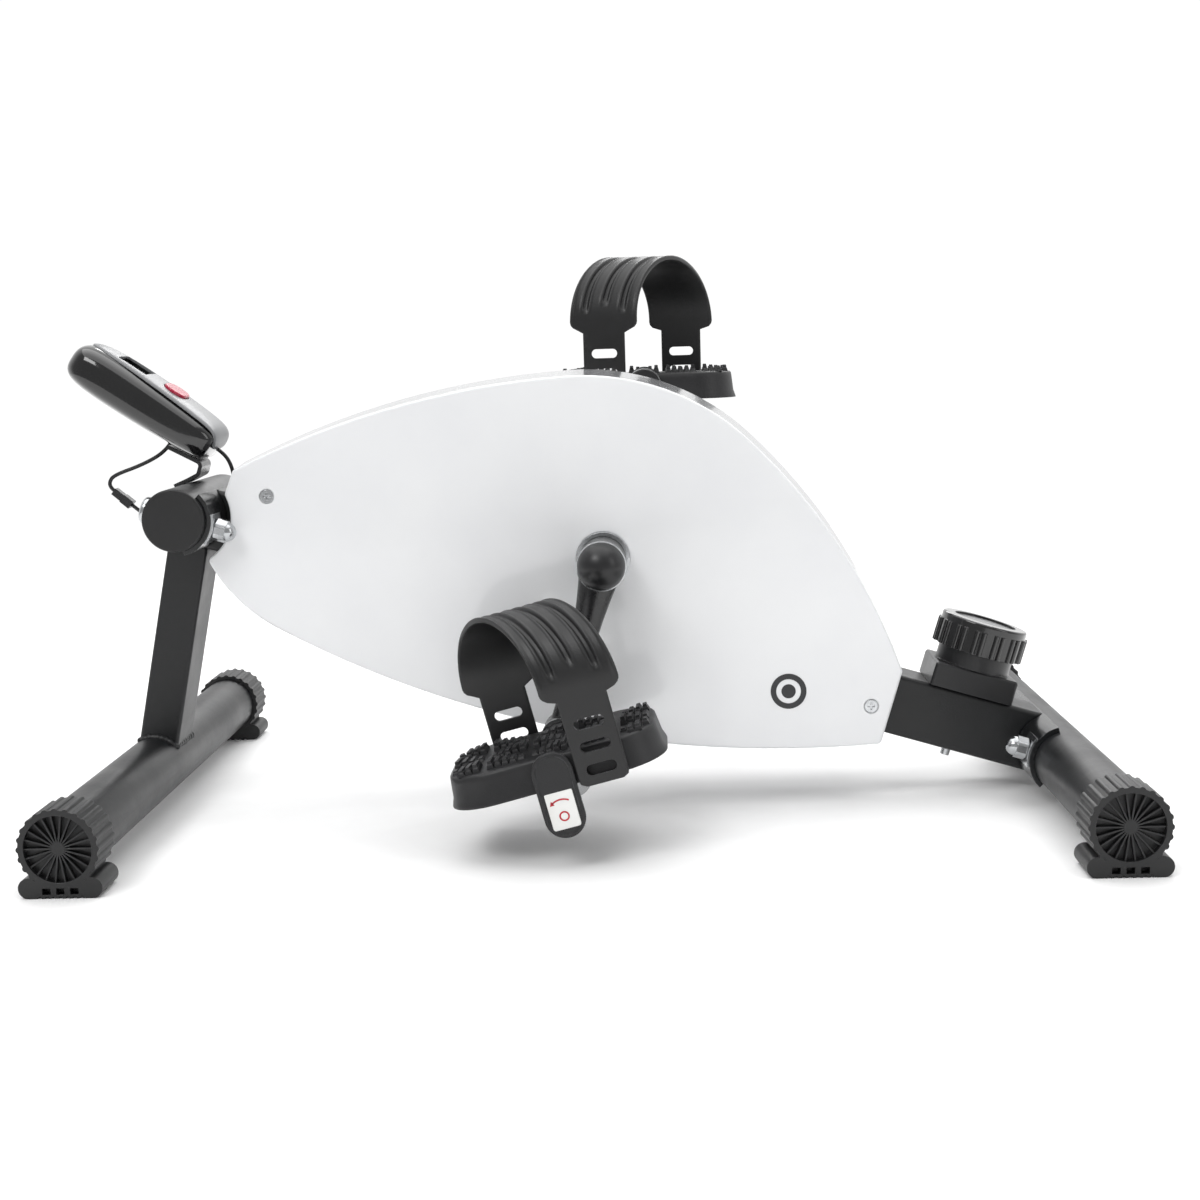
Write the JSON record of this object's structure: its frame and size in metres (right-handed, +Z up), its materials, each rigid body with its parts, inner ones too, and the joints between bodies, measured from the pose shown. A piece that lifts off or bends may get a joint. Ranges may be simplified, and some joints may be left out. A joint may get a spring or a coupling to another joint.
{
  "type": "pedal exerciser",
  "caption": "Floor-standing pedal exerciser: tubular frame with end feet, enclosed flywheel housing, cranks with strapped pedals, tension knob and small console.",
  "frame": {"origin": "on the floor, under the middle of the whole object", "axes": "+X from the console end to the tension knob end, +Y to the right pedal, +Z up"},
  "size_m": [0.6296, 0.4, 0.3454],
  "materials": {
    "frame_paint": "fine textured powder coat, satin black",
    "cap_plastic": "moulded, satin black",
    "white_abs": "polished mould, gloss white",
    "grey_abs": "polished mould, gloss grey",
    "bright_steel": "bright zinc plated",
    "turned_steel": "turned steel",
    "crank_paint": "satin black paint",
    "satin_black": "satin black",
    "nylon": "moulded nylon",
    "flywheel_metal": "turned aluminium",
    "arm_steel": "stamped steel",
    "magnet": "nickel plated magnet",
    "belt_rubber": "ribbed rubber belt",
    "lead_pvc": "PVC sheath, satin black",
    "pedal_plastic": "textured black nylon",
    "strap_rubber": "moulded rubber, satin black",
    "tag_white": "white sticker on a black plate",
    "knob_gloss": "gloss black",
    "label_silver": "spun silver label",
    "console_grey": "satin grey",
    "lcd": "display window",
    "button_red": "crimson"
  },
  "bodies": {
    "frame": {"base_bolt": "bright_steel", "cap_nuts": "bright_steel", "console_bracket": "frame_paint", "console_case": "satin_black", "console_face": "console_grey", "console_lead": "lead_pvc", "cover_screws": "bright_steel", "cover_trim_rings": "satin_black", "crank_bearings": "turned_steel", "crank_shell": "frame_paint", "cross_tube": "frame_paint", "cross_tube_plugs": "cap_plastic", "curved_washers": "bright_steel", "drive_belt": "belt_rubber", "flywheel_bearings": "turned_steel", "flywheel_shell": "frame_paint", "front_post": "frame_paint", "front_stabiliser": "frame_paint", "idler_pin": "bright_steel", "lcd_window": "lcd", "lead_connector": "satin_black", "left_cover": "white_abs", "lower_band": "grey_abs", "magnet_pivot": "bright_steel", "main_beam": "frame_paint", "post_lead": "lead_pvc", "rear_stabiliser": "frame_paint", "right_cover": "white_abs", "saddle_bolts": "bright_steel", "saddle_plates": "frame_paint", "sensor_lead": "lead_pvc", "side_plates": "frame_paint", "stabiliser_caps": "cap_plastic", "tension_base": "satin_black", "tension_cable": "lead_pvc", "upper_band": "grey_abs"},
    "crank": {"crank_axle": "turned_steel", "drive_pulley": "nylon", "left_crank": "crank_paint", "right_crank": "crank_paint", "crank_washers": "bright_steel", "crank_domes": "satin_black", "pedal_spindles": "turned_steel"},
    "flywheel": {"flywheel": "flywheel_metal", "flywheel_shaft": "turned_steel", "flywheel_pulley": "nylon"},
    "idler": {"idler_roller": "turned_steel"},
    "left_pedal": {"left_pedal": "pedal_plastic", "left_tag": "tag_white", "left_weight": "turned_steel", "left_strap": "strap_rubber"},
    "right_pedal": {"right_pedal": "pedal_plastic", "right_tag": "tag_white", "right_weight": "turned_steel", "right_strap": "strap_rubber"},
    "knob": {"tension_knob": "knob_gloss", "knob_label": "label_silver"},
    "magnet_arm": {"magnet_arm": "arm_steel", "brake_magnets": "magnet"},
    "button": {"console_button": "button_red"}
  },
  "joints": [
    {"name": "crank_spin", "type": "hinge", "parent": "frame", "child": "crank", "pos_m": [0.0135, 0, 0.157], "axis": [0, 1, 0], "continuous": true},
    {"name": "flywheel_spin", "type": "hinge", "parent": "frame", "child": "flywheel", "pos_m": [-0.096, 0, 0.184], "axis": [0, 1, 0], "continuous": true},
    {"name": "idler_spin", "type": "hinge", "parent": "frame", "child": "idler", "pos_m": [-0.07838, 0, 0.13311], "axis": [0, 1, 0], "continuous": true},
    {"name": "left_pedal_spin", "type": "hinge", "parent": "crank", "child": "left_pedal", "pos_m": [-0.01368, -0.125, 0.05558], "axis": [0, 1, 0], "continuous": true},
    {"name": "right_pedal_spin", "type": "hinge", "parent": "crank", "child": "right_pedal", "pos_m": [0.04068, 0.125, 0.25842], "axis": [0, 1, 0], "continuous": true},
    {"name": "knob_turn", "type": "hinge", "parent": "frame", "child": "knob", "pos_m": [0.23502, 0, 0.04435], "axis": [0.2891, 0, 0.9573], "range_deg": [0, 280]},
    {"name": "magnet_arm_swing", "type": "hinge", "parent": "frame", "child": "magnet_arm", "pos_m": [-0.16461, 0, 0.15628], "axis": [0, 1, 0], "range_deg": [-6.1, 0.1]},
    {"name": "console_button_press", "type": "slide", "parent": "frame", "child": "button", "axis": [-0.5878, 0, -0.809], "range_m": [0, 0.0012], "stiffness_N_per_m": 300, "springref_m": -0.003}
  ],
  "couplings": [
    {"joint": "flywheel_spin", "follows": "crank_spin", "ratio": 5.8333},
    {"joint": "idler_spin", "follows": "crank_spin", "ratio": -7.7778},
    {"joint": "magnet_arm_swing", "follows": "knob_turn", "ratio": -0.021429}
  ]
}
